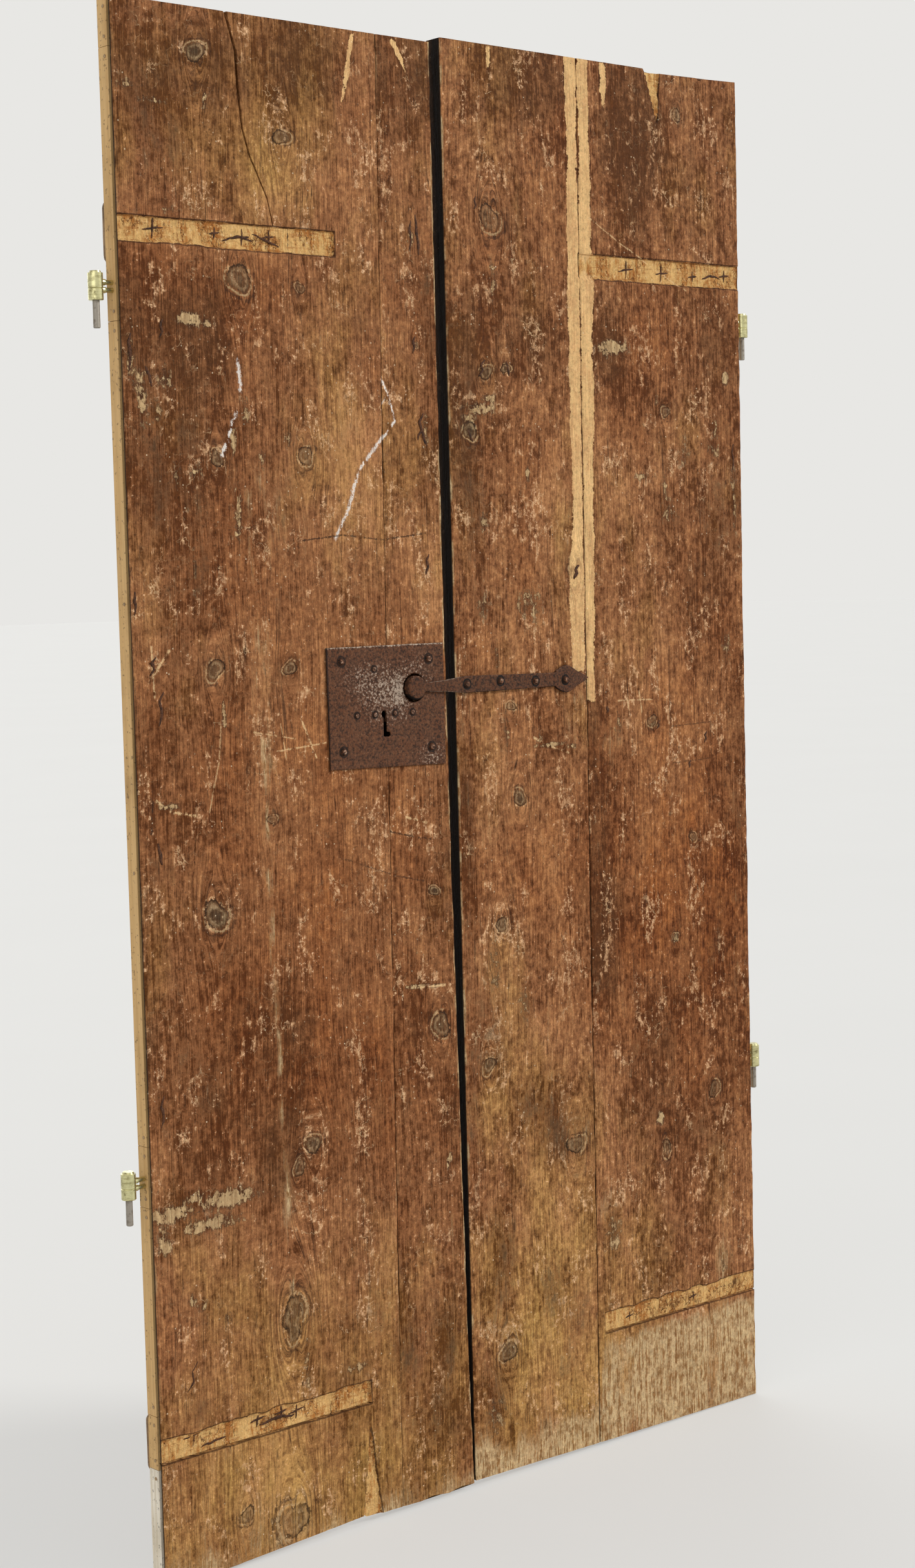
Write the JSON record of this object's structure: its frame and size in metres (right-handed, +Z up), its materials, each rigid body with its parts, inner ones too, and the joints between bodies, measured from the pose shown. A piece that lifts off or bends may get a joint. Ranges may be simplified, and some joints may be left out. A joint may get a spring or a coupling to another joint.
{
  "type": "barn door",
  "caption": "Old stained double plank door, ledged behind, with a mortise lock plate, a spear-ended strap and drill-in brass hinges.",
  "frame": {"origin": "on the axis of the lower left hinge pin, halfway down the pin's free length", "axes": "+Z up along the hinge pins, +X from the left hinge edge to the right, front with the lock looks along -Y"},
  "size_m": [1.122, 0.0587, 1.908],
  "materials": {
    "stained_board": "worn brown stain on old softwood",
    "ledge_wood": "weathered softwood",
    "new_softwood": "new sawn softwood",
    "rusted_iron": "rust-brown forged iron",
    "lock_iron": "dark worn iron",
    "hinge_brass": "yellow plated barrel",
    "pin_steel": "dull steel",
    "wire_nail": "dull nail heads"
  },
  "bodies": {
    "hinge_pins": {"left_lower_hinge_pin": "pin_steel", "left_upper_hinge_pin": "pin_steel", "right_lower_hinge_pin": "pin_steel", "right_upper_hinge_pin": "pin_steel"},
    "left_leaf": {"left_wide_board": "stained_board", "left_narrow_board": "stained_board", "left_upper_ledge": "ledge_wood", "left_lower_ledge": "ledge_wood", "left_lath_foot": "new_softwood", "left_lath_short": "new_softwood", "left_lath_lower": "new_softwood", "left_lath_lower_block": "new_softwood", "left_lath_middle": "new_softwood", "left_lath_upper": "new_softwood", "left_lath_top": "new_softwood", "left_lath_nails": "wire_nail", "left_lower_hinge_barrel": "hinge_brass", "left_upper_hinge_barrel": "hinge_brass", "lock_plate": "rusted_iron", "plate_nails": "rusted_iron", "lock_rivets": "rusted_iron", "bolt_guides": "lock_iron", "key_bridge": "lock_iron", "key_ward": "lock_iron", "bolt_spring": "lock_iron"},
    "right_leaf": {"right_inner_board": "stained_board", "right_outer_board": "stained_board", "right_upper_ledge": "ledge_wood", "right_lower_ledge": "ledge_wood", "right_lath_lower": "new_softwood", "right_lath_lower_block": "new_softwood", "right_lath_middle": "new_softwood", "right_lath_upper": "new_softwood", "right_lath_nails": "wire_nail", "right_lower_hinge_barrel": "hinge_brass", "right_upper_hinge_barrel": "hinge_brass", "strap": "rusted_iron", "strap_staple": "lock_iron", "strap_nails": "rusted_iron"},
    "lock_bolt": {"lock_bolt": "lock_iron"}
  },
  "joints": [
    {"name": "right_leaf_swing", "type": "hinge", "parent": "hinge_pins", "child": "right_leaf", "pos_m": [1.104, 0, 0], "axis": [0, 0, 1], "range_deg": [0, 110]},
    {"name": "left_leaf_swing", "type": "hinge", "parent": "hinge_pins", "child": "left_leaf", "pos_m": [0, 0, 0], "axis": [0, 0, -1], "range_deg": [0, 100]},
    {"name": "bolt_slide", "type": "slide", "parent": "left_leaf", "child": "lock_bolt", "axis": [1, 0, 0], "range_m": [0, 0.024]}
  ],
  "couplings": [
    {"joint": "left_leaf_swing", "follows": "right_leaf_swing", "ratio": 0.9}
  ]
}
